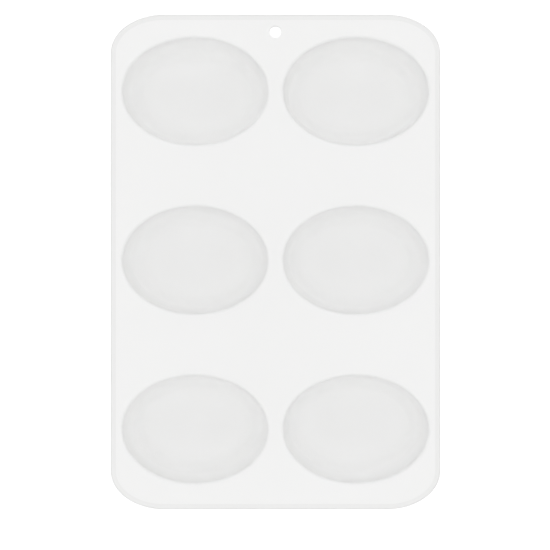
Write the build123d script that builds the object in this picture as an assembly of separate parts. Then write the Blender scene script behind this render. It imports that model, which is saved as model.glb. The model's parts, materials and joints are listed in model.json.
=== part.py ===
"""One-piece silicone mould for six oval soap bars, modelled as the zones that flex against each other.

Frame: millimetres, +Z up, X across the mould, Y along it towards the hanging hole.
The origin is the centre of the sheet's outline, on the plane that the six cups stand on.
"""
import os
from math import radians, tan

from build123d import *

# Sheet
SHEET_WIDTH = 180.0
SHEET_LENGTH = 270.0
SHEET_THICKNESS = 1.6
CORNER_X = 29.0  # the corners are quarter ellipses, longer across the mould than along it
CORNER_Y = 21.0
BEAD_WIDTH = 2.7  # thickened edge that stops the thin sheet from tearing
BEAD_THICKNESS = 2.6
EDGE_ROUND = 0.9
HOLE_DIAMETER = 6.5
HOLE_FROM_END = 9.6

# Cups
MOUTH_X = 79.0
MOUTH_Y = 58.5
CAVITY_DEPTH = 25.0
WALL = 1.5
DRAFT = 7.0  # degrees
BASE_ROUND = 7.0  # between the cavity's wall and its floor
LIP_ROUND = 1.8  # where the cavity's wall meets the top of the sheet
ROOT_ROUND = 0.6  # where the cup's outside meets the underside of the sheet
COLLAR = 2.1  # ring of sheet that belongs to the cup and flexes with it
PUSH_PAD_INSET = 9.5  # from the mouth to the edge of the flat disc that a thumb pushes

# Layout
COLUMN_PITCH = 87.8
ROW_PITCH = 92.2
GRID_SHIFT = 1.0  # the grid of cups sits this much nearer the hanging hole
BEND_STRIP = 26.0  # width of the strip of sheet that bends between two rows

HEIGHT = CAVITY_DEPTH + WALL
SHEET_UNDERSIDE = HEIGHT - SHEET_THICKNESS
MARGIN = 1.0  # how far a cutting tool runs past what it cuts
TOLERANCE = 0.001  # for finding an edge by its height

COLUMNS = {"left": -COLUMN_PITCH / 2, "right": COLUMN_PITCH / 2}
ROWS = {
    "top": GRID_SHIFT + ROW_PITCH,
    "middle": GRID_SHIFT,
    "bottom": GRID_SHIFT - ROW_PITCH,
}
STRIPS = {
    "upper": GRID_SHIFT + ROW_PITCH / 2,
    "lower": GRID_SHIFT - ROW_PITCH / 2,
}


def sheet_outline(inset=0.0):
    """The sheet's outline as a face on Z = 0, pulled in all round by inset."""
    half_x = SHEET_WIDTH / 2 - inset
    half_y = SHEET_LENGTH / 2 - inset
    corner_x = CORNER_X - inset
    corner_y = CORNER_Y - inset
    straight_x = half_x - corner_x
    straight_y = half_y - corner_y
    with BuildSketch() as sketch:
        with BuildLine():
            Line((straight_x, -half_y), (-straight_x, -half_y))
            Line((-half_x, -straight_y), (-half_x, straight_y))
            Line((-straight_x, half_y), (straight_x, half_y))
            Line((half_x, straight_y), (half_x, -straight_y))
            corners = [
                (straight_x, straight_y, 0),
                (-straight_x, straight_y, 90),
                (-straight_x, -straight_y, 180),
                (straight_x, -straight_y, 270),
            ]
            for x, y, start in corners:
                EllipticalCenterArc((x, y), corner_x, corner_y, start, arc_size=90)
        make_face()
    return sketch.sketch


def oval_prism(grow, low, high):
    """Upright oval solid: the cavity's mouth grown by grow, between two heights."""
    face = Pos(0, 0, low) * Ellipse(MOUTH_X / 2 + grow, MOUTH_Y / 2 + grow)
    return extrude(face, high - low)


def tapered_oval(grow, floor, base_round):
    """Drafted oval solid from floor up to the top of the sheet, with its lower edge rounded."""
    inset = CAVITY_DEPTH * tan(radians(DRAFT)) - grow
    lower = Pos(0, 0, floor) * Ellipse(MOUTH_X / 2 - inset, MOUTH_Y / 2 - inset)
    upper = Pos(0, 0, HEIGHT) * Ellipse(MOUTH_X / 2 + grow, MOUTH_Y / 2 + grow)
    solid = loft([lower, upper], ruled=True)
    lower_edge = solid.edges().group_by(Axis.Z)[0]
    return fillet(lower_edge, base_round)


def round_shortest_edge(solid, height, radius):
    """Round the shortest of the edges that lie level at a height."""
    level = [edge for edge in solid.edges() if is_level(edge, height)]
    shortest = min(level, key=lambda edge: edge.length)
    return fillet(shortest, radius)


def is_level(edge, height):
    """True if an edge lies level at a height."""
    box = edge.bounding_box()
    return abs(box.min.Z - height) < TOLERANCE and abs(box.max.Z - height) < TOLERANCE


def whole_cup():
    """A cup round the Z axis, from its collar of sheet down to the floor."""
    collar = oval_prism(COLLAR, SHEET_UNDERSIDE, HEIGHT)
    outside = tapered_oval(WALL, 0, BASE_ROUND + WALL)
    cup = round_shortest_edge(collar + outside, SHEET_UNDERSIDE, ROOT_ROUND)
    cup -= tapered_oval(0, WALL, BASE_ROUND)
    return round_shortest_edge(cup, HEIGHT, LIP_ROUND)


def cup_zones():
    """The cup split into the wall that folds and the flat floor that a thumb pushes up."""
    cup = whole_cup()
    pad = oval_prism(-PUSH_PAD_INSET, -MARGIN, WALL + MARGIN)
    return cup - pad, cup & pad


def whole_sheet():
    """The sheet with its edge bead and hanging hole, open where the cups' collars go."""
    slab = Pos(0, 0, HEIGHT - BEAD_THICKNESS) * extrude(sheet_outline(), BEAD_THICKNESS)
    levels = slab.edges().group_by(Axis.Z)
    sheet = fillet(levels[0] + levels[-1], EDGE_ROUND)
    pocket = extrude(sheet_outline(BEAD_WIDTH), BEAD_THICKNESS)
    sheet -= Pos(0, 0, SHEET_UNDERSIDE - BEAD_THICKNESS) * pocket
    hole = Cylinder(HOLE_DIAMETER / 2, 2 * BEAD_THICKNESS)
    sheet -= Pos(0, SHEET_LENGTH / 2 - HOLE_FROM_END, HEIGHT) * hole
    opening = oval_prism(COLLAR, SHEET_UNDERSIDE - MARGIN, HEIGHT + MARGIN)
    for x in COLUMNS.values():
        for y in ROWS.values():
            sheet -= Pos(x, y, 0) * opening
    return sheet


def slice_along_y(solid, low, high):
    """The part of a solid between two places along Y."""
    slab = Box(SHEET_WIDTH + 2 * MARGIN, high - low, HEIGHT)
    return solid & Pos(0, (low + high) / 2, HEIGHT) * slab


def sheet_zones():
    """The sheet split into a rigid zone for each row and the two strips that bend between them."""
    sheet = whole_sheet()
    half = BEND_STRIP / 2
    end = SHEET_LENGTH / 2 + MARGIN
    upper, lower = STRIPS["upper"], STRIPS["lower"]
    return {
        "sheet_top_row": slice_along_y(sheet, upper + half, end),
        "bend_strip_upper": slice_along_y(sheet, upper - half, upper + half),
        "sheet_middle_row": slice_along_y(sheet, lower + half, upper - half),
        "bend_strip_lower": slice_along_y(sheet, lower - half, lower + half),
        "sheet_bottom_row": slice_along_y(sheet, -end, lower - half),
    }


def mould():
    """Every zone of the mould, by node name."""
    zones = sheet_zones()
    wall, floor = cup_zones()
    for row, y in ROWS.items():
        for column, x in COLUMNS.items():
            place = Pos(x, y, 0)
            zones[f"cup_wall_{row}_{column}"] = place * wall
            zones[f"cup_floor_{row}_{column}"] = place * floor
    return zones


os.makedirs("parts", exist_ok=True)
for name, shape in mould().items():
    export_step(shape, f"parts/{name}.step")
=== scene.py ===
"""Looks of the silicone soap mould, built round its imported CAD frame.

Metres, +Z up, X across the mould, +Y towards the hanging hole.
The mould is one moulding, so neighbouring pieces meet at seams that light has to cross unseen.
"""

import json
from functools import cache
from math import cos, pi, radians, sin, sqrt, tan

import bmesh
import bpy
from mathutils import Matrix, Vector, noise

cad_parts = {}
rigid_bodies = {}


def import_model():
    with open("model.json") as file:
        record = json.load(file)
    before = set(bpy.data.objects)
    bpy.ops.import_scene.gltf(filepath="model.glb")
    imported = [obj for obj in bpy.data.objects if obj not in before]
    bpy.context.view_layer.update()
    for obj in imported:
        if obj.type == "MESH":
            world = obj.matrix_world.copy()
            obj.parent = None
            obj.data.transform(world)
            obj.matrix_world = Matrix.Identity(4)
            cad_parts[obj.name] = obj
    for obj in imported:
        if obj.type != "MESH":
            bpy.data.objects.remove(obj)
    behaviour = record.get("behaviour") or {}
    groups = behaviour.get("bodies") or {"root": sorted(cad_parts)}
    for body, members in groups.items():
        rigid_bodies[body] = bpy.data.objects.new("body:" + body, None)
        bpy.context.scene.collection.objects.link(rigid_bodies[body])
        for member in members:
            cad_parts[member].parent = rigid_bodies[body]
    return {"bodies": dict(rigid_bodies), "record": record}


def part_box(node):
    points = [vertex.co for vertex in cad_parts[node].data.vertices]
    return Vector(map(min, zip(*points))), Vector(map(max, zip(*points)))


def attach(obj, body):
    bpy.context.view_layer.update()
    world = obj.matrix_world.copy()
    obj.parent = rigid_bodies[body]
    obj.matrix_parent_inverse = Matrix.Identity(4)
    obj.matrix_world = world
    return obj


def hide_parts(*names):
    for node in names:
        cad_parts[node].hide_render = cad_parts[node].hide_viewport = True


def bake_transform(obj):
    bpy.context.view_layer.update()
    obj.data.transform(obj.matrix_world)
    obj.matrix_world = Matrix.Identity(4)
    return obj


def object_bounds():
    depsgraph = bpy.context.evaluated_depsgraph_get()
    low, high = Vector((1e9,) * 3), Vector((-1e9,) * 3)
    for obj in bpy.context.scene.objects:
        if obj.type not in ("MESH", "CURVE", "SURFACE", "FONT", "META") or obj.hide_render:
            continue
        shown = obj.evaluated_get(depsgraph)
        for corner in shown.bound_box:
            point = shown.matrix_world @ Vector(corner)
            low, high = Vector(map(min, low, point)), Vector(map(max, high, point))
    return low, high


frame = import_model()
cad_low, cad_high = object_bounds()

MM = 0.001

# Sizes that the frame's boxes don't give, the same as in the CAD
SHEET_THICKNESS = 1.6 * MM
CORNER_X = 29.0 * MM  # the corners are quarter ellipses
CORNER_Y = 21.0 * MM
BEAD_WIDTH = 2.7 * MM  # thickened edge all round the sheet
EDGE_ROUND = 0.9 * MM
COLLAR = 2.1 * MM  # from the cavity's mouth to the seam between a cup and the sheet
CAVITY_DRAFT = radians(7.0)
LIP_ROUND = 1.8 * MM  # where the cavity's wall meets the top of the sheet
ROOT_ROUND = 0.6 * MM  # where the cup's outside meets the underside of the sheet
BASE_ROUND = 7.0 * MM  # between the cavity's wall and its floor

# Details that the CAD leaves out
BEAD_STEP_ROUND = 0.25 * MM
HOLE_ROUND = 0.35 * MM
SAG = 0.22 * MM  # slow waves of the limp sheet
SAG_LENGTH = 70 * MM

# Fineness of the meshes
SIDE_STEPS = 32  # segments on each side of a cell, so four times as many round an oval
CORNER_STEPS = 8  # of those, the ones that follow half of a rounded corner
WEB_RINGS = 8  # between a cup's collar and its cell's sides
STRIP_STEPS = 26  # along a bend strip
HOLE_STEPS = 40
HOLE_CLEARING = 1.6  # how far round the hole the sheet's faces are made anew, in radii of its rim
LEAST_ROUND_STEPS = 5
ROUND_STEP = 0.8 * MM  # a round has one more step for each of these in its radius
FLAT_REACH = 1.2  # how far a cup's profile runs in from the foot of its wall, in radii of the base's round
GUARD = 0.25 * MM  # how close an extra edge stands to each end of a round, so that flats shade flat
SHORT_STRETCH = 4 * GUARD  # too short for extra edges
LONGEST_STEP = 1.6 * MM  # along a profile
SAME_POINT = GUARD / 50
SAME_HEIGHT = GUARD / 10

BEAD_SHADE_MASK = "bead_shade_mask"  # vertex attribute, 1 on the sheet's bead, where the material darkens the colour as painted shade

# Silicone
DENSE_COLOUR = (0.965, 0.965, 0.96, 1)
MILKY_COLOUR = (0.98, 0.98, 0.978, 1)
# painted shade: a darker colour for the bead, standing in for the shade along the sheet's edge
BEAD_SHADE_COLOUR = (0.925, 0.925, 0.92, 1)
LET_THROUGH = 0.08  # share of the light
CLOUD_SCALE = 22.0  # slow changes between the dense and the milky colour, in waves per metre
CLOUD_DETAIL = 3.0
SMEAR_SCALE = 90.0  # where fingers have left the satin surface a little shinier
SMEAR_DETAIL = 4.0
GRAIN_SCALE = 1400.0  # fine texture that the moulding tool leaves
GRAIN_DETAIL = 2.0
GRAIN_DEPTH = 0.05 * MM
GRAIN_STRENGTH = 0.15
SHINIEST = 0.36  # roughness
DULLEST = 0.5
REFRACTION = 1.41

# Table
TABLE_SIZE = 30.0  # wide enough for its far edge to look like the horizon
TABLE_CELLS = 8
TABLE_GAP = 0.3 * MM  # between the table and the mould's lowest point
TABLE_TONE = 0.7
TABLE_GLOW = 0.7  # seen by the camera alone
GLOW_NARROWNESS = 6.0  # how fast the glow fades as the table is seen at a slant

# Light: lowest and highest angle above the horizon in degrees, and strength
RINGS_OF_LIGHT = (
    (15, 30, 1.22),
    (30, 45, 1.18),
    (45, 60, 0.50),
    (60, 75, 1.74),
)
BACKDROP = 0.668  # the tone of the table where it ends, so that no horizon shows
BOUNCES = 24  # of light, before it is given up
DIFFUSE_BOUNCES = 12
CLEAR_CROSSINGS = 32  # of seams

# Camera
SENSOR_WIDTH = 36
CLIP_START = 10 * MM
CAMERA_DISTANCE = 800 * MM  # above the sheet
VIEW_WIDTH = 300 * MM  # what the picture's width takes in at the height of the sheet
CAMERA_X = -0.26 * MM
CAMERA_Y = -7.1 * MM


@cache
def box(node):
    """Lowest and highest corner of a CAD node at rest."""
    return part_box(node)


def box_size(node):
    """Size of a CAD node's box."""
    low, high = box(node)
    return high - low


def box_centre(node):
    """Centre of a CAD node's box."""
    low, high = box(node)
    return (low + high) / 2


HEIGHT = cad_high.z
UNDERSIDE = HEIGHT - SHEET_THICKNESS
HALF_X = cad_high.x
HALF_Y = cad_high.y
BEAD_THICKNESS = box_size("bend_strip_upper").z
WALL = box_size("cup_floor_top_left").z
CAVITY_DEPTH = HEIGHT - WALL
MOUTH_HALF_X = box_size("cup_wall_top_left").x / 2 - COLLAR
MOUTH_HALF_Y = box_size("cup_wall_top_left").y / 2 - COLLAR
WEB_INSET = BEAD_WIDTH + BEAD_STEP_ROUND + GUARD / 2  # from the edge to where the plain sheet begins
HOLE = next(mount for mount in frame["record"]["mounts"] if mount["name"] == "hanging_hole")

ROWS = ("top", "middle", "bottom")
COLUMNS = ("left", "right")
END_ROWS = {"top": 1, "bottom": -1}  # rows with an end of the sheet, and which way along Y it lies
BEND_STRIPS = {"bend_strip_upper": "top", "bend_strip_lower": "bottom"}  # with the end rows they carry


# Profiles, as lines of (grow, z) or (inset, z) points

def rounded_line(start, corners, end):
    """The line from start to end past (point, radius) corners, each rounded off with an arc."""
    stops = [Vector(start)] + [Vector(point) for point, radius in corners] + [Vector(end)]
    line = [stops[0]]
    for i, (point, radius) in enumerate(corners, start=1):
        steps = round(LEAST_ROUND_STEPS + radius / ROUND_STEP)
        back = (stops[i - 1] - stops[i]).normalized()
        on = (stops[i + 1] - stops[i]).normalized()
        half = back.angle(on) / 2
        centre = stops[i] + (back + on).normalized() * radius / sin(half)
        first = stops[i] + back * radius / tan(half) - centre
        last = stops[i] + on * radius / tan(half) - centre
        line += [centre + first.slerp(last, step / steps) * radius for step in range(steps + 1)]
    return with_guards(line + [stops[-1]])


def with_guards(line):
    """The same line with its long stretches divided, and guard points close to their ends."""
    fine = [line[0]]
    for a, b in zip(line, line[1:]):
        length = (b - a).length
        if length > SHORT_STRETCH:
            inner = length - 2 * GUARD
            pieces = max(1, round(inner / LONGEST_STEP))
            stops = [GUARD + inner * i / pieces for i in range(pieces + 1)]
            fine += [a.lerp(b, stop / length) for stop in stops]
        fine.append(b)
    return fine


def cavity_profile():
    """From the collar over the lip, down the wall and round to the cavity's floor."""
    foot = -CAVITY_DEPTH * tan(CAVITY_DRAFT)
    corners = [((0, HEIGHT), LIP_ROUND), ((foot, WALL), BASE_ROUND)]
    return rounded_line((COLLAR, HEIGHT), corners, (foot - FLAT_REACH * BASE_ROUND, WALL))


def outside_profile():
    """From the collar's underside down the outside of the cup to its base."""
    slope = CAVITY_DEPTH * tan(CAVITY_DRAFT) / HEIGHT
    root = WALL - SHEET_THICKNESS * slope
    foot = WALL - HEIGHT * slope
    base_round = BASE_ROUND + WALL
    corners = [((root, UNDERSIDE), ROOT_ROUND), ((foot, 0), base_round)]
    return rounded_line((COLLAR, UNDERSIDE), corners, (foot - FLAT_REACH * base_round, 0))


def bead_profile():
    """Round the sheet's edge, from its top to its underside."""
    bottom = HEIGHT - BEAD_THICKNESS
    corners = [
        ((0, HEIGHT), EDGE_ROUND),
        ((0, bottom), EDGE_ROUND),
        ((BEAD_WIDTH, bottom), BEAD_STEP_ROUND),
        ((BEAD_WIDTH, UNDERSIDE), BEAD_STEP_ROUND),
    ]
    return rounded_line((WEB_INSET, HEIGHT), corners, (WEB_INSET, UNDERSIDE))


def bead_shares():
    """For each point of the bead's profile, 1 on the bead and 0 where it meets the plain sheet."""
    return [0] + [1] * (len(bead_profile()) - 2) + [0]


# Plan outlines, as lists of (x, y) points

def steps_between(a, b, steps):
    """Evenly spaced points from a to b, both included."""
    return [Vector(a).lerp(Vector(b), i / steps) for i in range(steps + 1)]


def square_loop():
    """Points round the square from -1 to 1, starting at its low corner, the first one not repeated."""
    corners = [(-1, -1), (1, -1), (1, 1), (-1, 1), (-1, -1)]
    loop = []
    for a, b in zip(corners, corners[1:]):
        loop += steps_between(a, b, SIDE_STEPS)[:-1]
    return loop


def on_disc(point):
    """Where a point of the square from -1 to 1 lands when the square is bulged out to the unit disc."""
    u, v = point
    return Vector((u * sqrt(1 - v * v / 2), v * sqrt(1 - u * u / 2)))


def in_oval(centre, grow, point):
    """Where a point of the square from -1 to 1 lands in a cup's mouth grown by grow."""
    x, y = on_disc(point)
    return Vector((centre.x + x * (MOUTH_HALF_X + grow), centre.y + y * (MOUTH_HALF_Y + grow)))


def oval(centre, grow):
    """Ring round a cup: the cavity's mouth grown by grow."""
    return [in_oval(centre, grow, point) for point in square_loop()]


def end_outline(inset, seam_y, way):
    """Outline of the left half of an end row: middle of the sheet's end, round the corner, to the seam."""
    half_x = HALF_X - inset
    half_y = HALF_Y - inset
    radius_x = CORNER_X - inset
    radius_y = CORNER_Y - inset
    straight = SIDE_STEPS - CORNER_STEPS
    end = steps_between((0, way * half_y), (radius_x - half_x, way * half_y), straight)
    corner = []
    for i in range(1, 2 * CORNER_STEPS):
        angle = pi / 2 * i / (2 * CORNER_STEPS)
        x = radius_x - half_x - radius_x * sin(angle)
        y = half_y - radius_y + radius_y * cos(angle)
        corner.append(Vector((x, way * y)))
    side = steps_between((-half_x, way * (half_y - radius_y)), (-half_x, seam_y), straight)
    return end + corner + side


def side_outline(inset, start_y, end_y, steps):
    """A straight stretch of the sheet's left edge."""
    x = inset - HALF_X
    return steps_between((x, start_y), (x, end_y), steps)


def row_span(row):
    """Lowest and highest y of a row's zone of sheet."""
    low, high = box(f"sheet_{row}_row")
    return low.y, high.y


def row_outline(row, inset):
    """Outline of the left half of a row's zone of sheet, without its seams."""
    low, high = row_span(row)
    if row in END_ROWS:
        way = END_ROWS[row]
        return end_outline(inset, low if way > 0 else high, way)
    return side_outline(inset, high, low, SIDE_STEPS)


def cell_loop(row):
    """Sides of the left cell of a row, in the order of square_loop."""
    low, high = row_span(row)
    edge = WEB_INSET - HALF_X
    outline = row_outline(row, WEB_INSET)
    end, side = outline[:SIDE_STEPS + 1], outline[-SIDE_STEPS - 1:]
    bottom = steps_between((edge, low), (0, low), SIDE_STEPS)
    top = steps_between((0, high), (edge, high), SIDE_STEPS)
    if row == "top":
        high -= WEB_INSET
        top = end
    elif row == "bottom":
        low += WEB_INSET
        bottom = end[::-1]
        side = side[::-1]
    middle = steps_between((0, low), (0, high), SIDE_STEPS)
    return bottom[:-1] + middle[:-1] + top[:-1] + side[:-1]


# Mesh building

class Shell:
    """Collects quads and polygons into one closed mesh, in the CAD's frame at rest."""

    def __init__(self):
        self.mesh = bmesh.new()
        self.bead_shade = self.mesh.verts.layers.float.new(BEAD_SHADE_MASK)
        self.caps = []

    def point(self, place, share):
        """A new point, with its share of the sheet's bead, which is darkened with painted shade."""
        vert = self.mesh.verts.new(place)
        vert[self.bead_shade] = share
        return vert

    def grid(self, lines, closed=False, cap=False, shares=None):
        """Quads between neighbouring lines of (x, y, z) points.

        closed joins each line's last point to its first, and cap marks a seam.
        """
        shares = shares or [0] * len(lines)
        strings = [[self.point(place, share) for place in line] for line, share in zip(lines, shares)]
        last = len(strings[0]) if closed else len(strings[0]) - 1
        for a, b in zip(strings, strings[1:]):
            for i in range(last):
                j = (i + 1) % len(a)
                face = self.mesh.faces.new((a[i], a[j], b[j], b[i]))
                if cap:
                    self.caps.append(face)

    def polygon(self, places, shares):
        """One flat face at a seam."""
        self.caps.append(self.mesh.faces.new([self.point(*pair) for pair in zip(places, shares)]))

    def finish(self, name):
        """Joins the patches, points the normals outwards and makes the object."""
        bm = self.mesh
        bmesh.ops.remove_doubles(bm, verts=bm.verts, dist=SAME_POINT)
        bmesh.ops.recalc_face_normals(bm, faces=bm.faces)
        caps = {face for face in self.caps if face.is_valid}
        for face in bm.faces:
            face.smooth = True
            face.material_index = 1 if face in caps else 0
        for edge in bm.edges:
            sides = [face in caps for face in edge.link_faces]
            edge.smooth = all(sides) or not any(sides)
        for vert in bm.verts:
            vert.co.z += sag(vert.co)
        data = bpy.data.meshes.new(name)
        bm.to_mesh(data)
        bm.free()
        piece = bpy.data.objects.new(name, data)
        bpy.context.scene.collection.objects.link(piece)
        data.materials.append(SILICONE)
        data.materials.append(SEAM)
        return piece


def sag(point):
    """How far the limp sheet stands above or below flat, fading out down the cups."""
    held = min(1.0, max(0.0, (point.z - HEIGHT / 2) / (HEIGHT / 2)))
    wave = noise.noise(Vector((point.x, point.y, 0)) / SAG_LENGTH)
    return SAG * wave * held


def raised(line, z):
    """A plan line lifted to a height."""
    return [(x, y, z) for x, y in line]


def mirrored(lines):
    """The same lines on the other side of X = 0."""
    return [[(-x, y, z) for x, y, z in line] for line in lines]


def add_both_halves(shell, lines, **options):
    """A grid on the left half and its mirror image on the right."""
    shell.grid(lines, **options)
    shell.grid(mirrored(lines), **options)


def add_bead(shell, outline_at):
    """The sheet's edge along both halves of a zone. outline_at gives the left outline for an inset."""
    lines = [raised(outline_at(inset), z) for inset, z in bead_profile()]
    add_both_halves(shell, lines, shares=bead_shares())


def add_seam(shell, y):
    """Closes a zone of sheet where it meets the next one."""
    line = steps_between((WEB_INSET - HALF_X, y), (0, y), SIDE_STEPS)
    add_both_halves(shell, [raised(line, HEIGHT), raised(line, UNDERSIDE)], cap=True)
    section = [(inset - HALF_X, y, z) for inset, z in bead_profile()]
    shell.polygon(section, bead_shares())
    shell.polygon([(-x, y, z) for x, y, z in section], bead_shares())


def add_cell(shell, row):
    """The web round both cups of a row, top and underside, and the edges of its two openings."""
    collar = oval(box_centre(f"cup_floor_{row}_left"), COLLAR)
    sides = cell_loop(row)
    for z in (HEIGHT, UNDERSIDE):
        rings = []
        for ring in range(WEB_RINGS + 1):
            share = ring / WEB_RINGS
            rings.append([(*a.lerp(b, share), z) for a, b in zip(collar, sides)])
        add_both_halves(shell, rings, closed=True)
    add_both_halves(shell, [raised(collar, HEIGHT), raised(collar, UNDERSIDE)], closed=True, cap=True)


def row_shell(row):
    """One row's zone of sheet."""
    shell = Shell()
    add_cell(shell, row)
    add_bead(shell, lambda inset: row_outline(row, inset))
    low, high = row_span(row)
    if row != "top":
        add_seam(shell, high)
    if row != "bottom":
        add_seam(shell, low)
    return shell


def strip_shell(node):
    """A strip of sheet that bends between two rows."""
    low, high = box(node)
    shell = Shell()
    for z in (HEIGHT, UNDERSIDE):
        lines = []
        for x, y in side_outline(WEB_INSET, low.y, high.y, STRIP_STEPS):
            lines.append(raised(steps_between((x, y), (0, y), SIDE_STEPS), z))
        add_both_halves(shell, lines)
    add_bead(shell, lambda inset: side_outline(inset, high.y, low.y, STRIP_STEPS))
    add_seam(shell, low.y)
    add_seam(shell, high.y)
    return shell


def add_cup_skin(shell, centre, profile):
    """One side of a cup: rings down the profile, then a quad patch across the flat base."""
    rings = [raised(oval(centre, grow), z) for grow, z in profile]
    shell.grid(rings, closed=True)
    grow, z = profile[-1]
    across = [2 * i / SIDE_STEPS - 1 for i in range(SIDE_STEPS + 1)]
    shell.grid([raised([in_oval(centre, grow, (u, v)) for u in across], z) for v in across])


def cup_shell(row, column):
    """A whole cup with its collar."""
    centre = box_centre(f"cup_floor_{row}_{column}")
    shell = Shell()
    add_cup_skin(shell, centre, cavity_profile())
    add_cup_skin(shell, centre, outside_profile())
    collar = oval(centre, COLLAR)
    shell.grid([raised(collar, HEIGHT), raised(collar, UNDERSIDE)], closed=True, cap=True)
    return shell


def cut_hanging_hole(shell):
    """Opens the hanging hole in the top row's zone, with slightly rounded rims."""
    bm = shell.mesh
    bmesh.ops.remove_doubles(bm, verts=bm.verts, dist=SAME_POINT)
    centre = Vector(HOLE["pos_m"])
    radius = HOLE["dims"]["r_mm"] * MM
    corners = [((radius, HEIGHT), HOLE_ROUND), ((radius, UNDERSIDE), HOLE_ROUND)]
    rim = radius + 2 * HOLE_ROUND
    profile = rounded_line((rim, HEIGHT), corners, (rim, UNDERSIDE))
    for z in (HEIGHT, UNDERSIDE):
        covered = []
        for face in bm.faces:
            middle = face.calc_center_median()
            flat = all(abs(vert.co.z - z) < SAME_HEIGHT for vert in face.verts)
            if flat and (middle.xy - centre.xy).length < HOLE_CLEARING * rim:
                covered.append(face)
        bmesh.ops.delete(bm, geom=covered, context="FACES")
        reach = 2 * HOLE_CLEARING * rim
        around = [edge for edge in bm.edges if edge.is_boundary and is_near(edge, centre, reach, z)]
        ring = [bm.verts.new(place) for place in circle(centre, rim, z)]
        inner = [bm.edges.new((a, b)) for a, b in zip(ring, ring[1:] + ring[:1])]
        bmesh.ops.bridge_loops(bm, edges=around + inner)
    shell.grid([circle(centre, r, z) for r, z in profile], closed=True)


def circle(centre, radius, z):
    """Points round the hanging hole."""
    angles = [2 * pi * i / HOLE_STEPS for i in range(HOLE_STEPS)]
    return [(centre.x + radius * cos(a), centre.y + radius * sin(a), z) for a in angles]


def is_near(edge, centre, reach, z):
    """True if an edge lies at a height and within reach of the centre."""
    return all(
        (vert.co.xy - centre.xy).length < reach and abs(vert.co.z - z) < SAME_HEIGHT
        for vert in edge.verts
    )


# Materials

def feed(tree, socket, value):
    """Fills in a node's input: an output socket is linked, and anything else is set as its value."""
    if isinstance(value, bpy.types.NodeSocket):
        tree.links.new(value, socket)
    else:
        socket.default_value = value


def add_node(tree, kind, **inputs):
    """A shader node with some inputs filled in."""
    node = tree.nodes.new(kind)
    for key, value in inputs.items():
        feed(tree, node.inputs[key.replace("_", " ")], value)
    return node


def add_math(tree, operation, first, second):
    """The result of a maths node on two inputs."""
    node = tree.nodes.new("ShaderNodeMath")
    node.operation = operation
    feed(tree, node.inputs[0], first)
    feed(tree, node.inputs[1], second)
    return node.outputs[0]


def add_colour_mix(tree, share, first, second):
    """The colour between two, by its share of the second."""
    node = tree.nodes.new("ShaderNodeMix")
    node.data_type = "RGBA"
    colour_inputs = [socket for socket in node.inputs if socket.type == "RGBA"]
    feed(tree, node.inputs["Factor"], share)
    feed(tree, colour_inputs[0], first)
    feed(tree, colour_inputs[1], second)
    return next(socket for socket in node.outputs if socket.type == "RGBA")


def add_shader_mix(tree, share, first, second):
    """Two shader nodes mixed, by the share of the second."""
    node = add_node(tree, "ShaderNodeMixShader", Fac=share)
    feed(tree, node.inputs[1], first.outputs[0])
    feed(tree, node.inputs[2], second.outputs[0])
    return node


def grey(tone):
    """A grey as a colour."""
    return (tone, tone, tone, 1)


def new_material(name):
    """A material with no nodes yet."""
    material = bpy.data.materials.new(name)
    material.use_nodes = True
    material.node_tree.nodes.clear()
    return material


def silicone_material():
    """Milky silicone: satin surface, most of the light scattered back and a little let through."""
    material = new_material("milky_silicone")
    tree = material.node_tree
    place = add_node(tree, "ShaderNodeTexCoord").outputs["Object"]
    clouds = add_node(tree, "ShaderNodeTexNoise", Vector=place, Scale=CLOUD_SCALE, Detail=CLOUD_DETAIL)
    smears = add_node(tree, "ShaderNodeTexNoise", Vector=place, Scale=SMEAR_SCALE, Detail=SMEAR_DETAIL)
    grain = add_node(tree, "ShaderNodeTexNoise", Vector=place, Scale=GRAIN_SCALE, Detail=GRAIN_DETAIL)
    plain = add_colour_mix(tree, clouds.outputs["Fac"], DENSE_COLOUR, MILKY_COLOUR)
    # Painted shade: the colour is darkened on the bead along the sheet's edge
    edge = add_node(tree, "ShaderNodeAttribute")
    edge.attribute_name = BEAD_SHADE_MASK
    colour = add_colour_mix(tree, edge.outputs["Fac"], plain, BEAD_SHADE_COLOUR)
    roughness = add_node(
        tree, "ShaderNodeMapRange", Value=smears.outputs["Fac"], To_Min=SHINIEST, To_Max=DULLEST,
    )
    bump = add_node(
        tree, "ShaderNodeBump", Height=grain.outputs["Fac"], Strength=GRAIN_STRENGTH, Distance=GRAIN_DEPTH,
    )
    skin = add_node(
        tree, "ShaderNodeBsdfPrincipled", Base_Color=colour, Roughness=roughness.outputs["Result"],
        IOR=REFRACTION, Normal=bump.outputs["Normal"],
    )
    through = add_node(tree, "ShaderNodeBsdfTranslucent", Color=colour, Normal=bump.outputs["Normal"])
    mix = add_shader_mix(tree, LET_THROUGH, skin, through)
    add_node(tree, "ShaderNodeOutputMaterial", Surface=mix.outputs[0])
    return material


def seam_material():
    """Clear, for the seams inside the one moulding, which light has to cross as if they weren't there."""
    material = new_material("seam")
    clear = add_node(material.node_tree, "ShaderNodeBsdfTransparent", Color=grey(1))
    add_node(material.node_tree, "ShaderNodeOutputMaterial", Surface=clear.outputs[0])
    return material


# Pieces

def add_sheet_row(row):
    """One row's zone of sheet, which moves with its row."""
    shell = row_shell(row)
    if row == "top":
        cut_hanging_hole(shell)
    piece = shell.finish(f"sheet_{row}")
    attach(piece, f"{row}_row")
    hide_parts(f"sheet_{row}_row")


def add_bend_strip(node):
    """A strip of sheet between an end row and the middle row, in place of the CAD's strip."""
    piece = strip_shell(node).finish(f"{node}_skin")
    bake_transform(piece)
    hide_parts(node)


def add_cup(row, column):
    """A cup with its collar, in place of the CAD's wall and floor of that cup."""
    piece = cup_shell(row, column).finish(f"cup_{row}_{column}")
    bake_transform(piece)
    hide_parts(f"cup_wall_{row}_{column}", f"cup_floor_{row}_{column}")


# Table, light and camera

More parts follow.
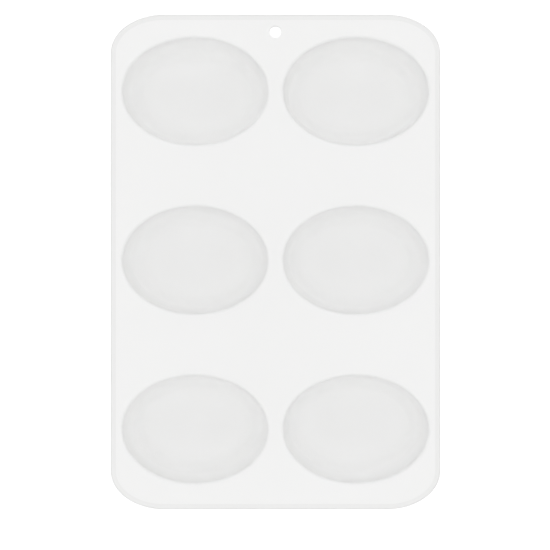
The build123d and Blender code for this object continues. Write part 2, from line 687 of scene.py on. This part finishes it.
def table_material():
    """Pale matt table. To the camera alone it also glows, most of all straight down, like a light table."""
    material = new_material("pale_table")
    material.cycles.emission_sampling = "NONE"
    tree = material.node_tree
    table = add_node(tree, "ShaderNodeBsdfDiffuse", Color=grey(TABLE_TONE))
    seen = add_node(tree, "ShaderNodeLightPath").outputs["Is Camera Ray"]
    slant = add_node(tree, "ShaderNodeLayerWeight").outputs["Facing"]
    facing = add_math(tree, "SUBTRACT", 1.0, slant)
    facing = add_math(tree, "POWER", facing, GLOW_NARROWNESS)
    strength = add_math(tree, "MULTIPLY", facing, seen)
    strength = add_math(tree, "MULTIPLY", strength, TABLE_GLOW)
    glow = add_node(tree, "ShaderNodeEmission", Strength=strength)
    both = tree.nodes.new("ShaderNodeAddShader")
    feed(tree, both.inputs[0], table.outputs[0])
    feed(tree, both.inputs[1], glow.outputs[0])
    add_node(tree, "ShaderNodeOutputMaterial", Surface=both.outputs[0])
    return material


def add_table():
    """A wide table just under the mould."""
    bm = bmesh.new()
    bmesh.ops.create_grid(bm, x_segments=TABLE_CELLS, y_segments=TABLE_CELLS, size=TABLE_SIZE / 2)
    data = bpy.data.meshes.new("table")
    bm.to_mesh(data)
    bm.free()
    data.materials.append(table_material())
    table = bpy.data.objects.new("table", data)
    bpy.context.scene.collection.objects.link(table)
    stand_under_mould(table)


def stand_under_mould(table):
    """Keeps the table just below the mould's lowest point, however it is bent and its cups are pushed."""
    z_axis = 2
    driver = table.driver_add("location", z_axis).driver
    driver.type = "MIN"
    for row, way in END_ROWS.items():
        add_lowest(driver, f"{row}_row", (0, way * HALF_Y, HEIGHT - BEAD_THICKNESS))
    for row in ROWS:
        for column in COLUMNS:
            for corner in box(f"cup_floor_{row}_{column}"):
                add_lowest(driver, f"floor_{row}_{column}", (corner.x, corner.y, cad_low.z))


def add_lowest(driver, body, place):
    """Gives the driver the height of a point that rides with a body, less the gap that the table keeps."""
    x, y, z = place
    marker = bpy.data.objects.new(f"lowest_on_{body}", None)
    marker.parent = frame["bodies"][body]
    marker.location = (x, y, z - TABLE_GAP)
    bpy.context.scene.collection.objects.link(marker)
    height = driver.variables.new()
    height.type = "TRANSFORMS"
    target = height.targets[0]
    target.id = marker
    target.transform_type = "LOC_Z"
    target.transform_space = "WORLD_SPACE"


def add_world():
    """A white studio: soft rings of light at set heights all round, and plain pale to the camera."""
    world = bpy.data.worlds.new("studio")
    bpy.context.scene.world = world
    world.use_nodes = True
    tree = world.node_tree
    tree.nodes.clear()
    direction = add_node(tree, "ShaderNodeTexCoord").outputs["Generated"]
    up = add_node(tree, "ShaderNodeSeparateXYZ", Vector=direction).outputs["Z"]
    ramp = add_node(tree, "ShaderNodeValToRGB", Fac=up)
    ramp.color_ramp.interpolation = "CONSTANT"
    brightest = max(strength for low, high, strength in RINGS_OF_LIGHT)
    highest = RINGS_OF_LIGHT[-1][1]
    stops = [(0, 0)] + [(low, strength) for low, high, strength in RINGS_OF_LIGHT] + [(highest, 0)]
    for angle, strength in stops[2:]:
        ramp.color_ramp.elements.new(sin(radians(angle)))
    for element, (angle, strength) in zip(ramp.color_ramp.elements, stops):
        element.position = sin(radians(angle))
        element.color = grey(strength / brightest)
    light = add_node(tree, "ShaderNodeBackground", Color=ramp.outputs["Color"], Strength=brightest)
    backdrop = add_node(tree, "ShaderNodeBackground", Color=grey(1), Strength=BACKDROP)
    seen = add_node(tree, "ShaderNodeLightPath").outputs["Is Camera Ray"]
    mix = add_shader_mix(tree, seen, light, backdrop)
    add_node(tree, "ShaderNodeOutputWorld", Surface=mix.outputs[0])


def add_camera():
    """Looks straight down on the mould, from a little nearer its plain end."""
    camera = bpy.data.cameras.new("camera")
    camera.sensor_width = SENSOR_WIDTH
    camera.lens = SENSOR_WIDTH * CAMERA_DISTANCE / VIEW_WIDTH
    camera.clip_start = CLIP_START
    camera.clip_end = 2 * TABLE_SIZE
    eye = bpy.data.objects.new("camera", camera)
    eye.location = (CAMERA_X, CAMERA_Y, HEIGHT + CAMERA_DISTANCE)
    bpy.context.scene.collection.objects.link(eye)
    bpy.context.scene.camera = eye


def let_light_through():
    """Keeps the picture's tones plain, and lets light bounce about often enough inside the pale cups."""
    scene = bpy.context.scene
    scene.view_settings.view_transform = "Standard"
    scene.cycles.max_bounces = BOUNCES
    scene.cycles.diffuse_bounces = DIFFUSE_BOUNCES
    scene.cycles.transmission_bounces = BOUNCES
    scene.cycles.transparent_max_bounces = CLEAR_CROSSINGS


SILICONE = silicone_material()
SEAM = seam_material()
for row in ROWS:
    add_sheet_row(row)
for node, end_row in BEND_STRIPS.items():
    add_bend_strip(node)
for row in ROWS:
    for column in COLUMNS:
        add_cup(row, column)
add_table()
add_world()
add_camera()
let_light_through()
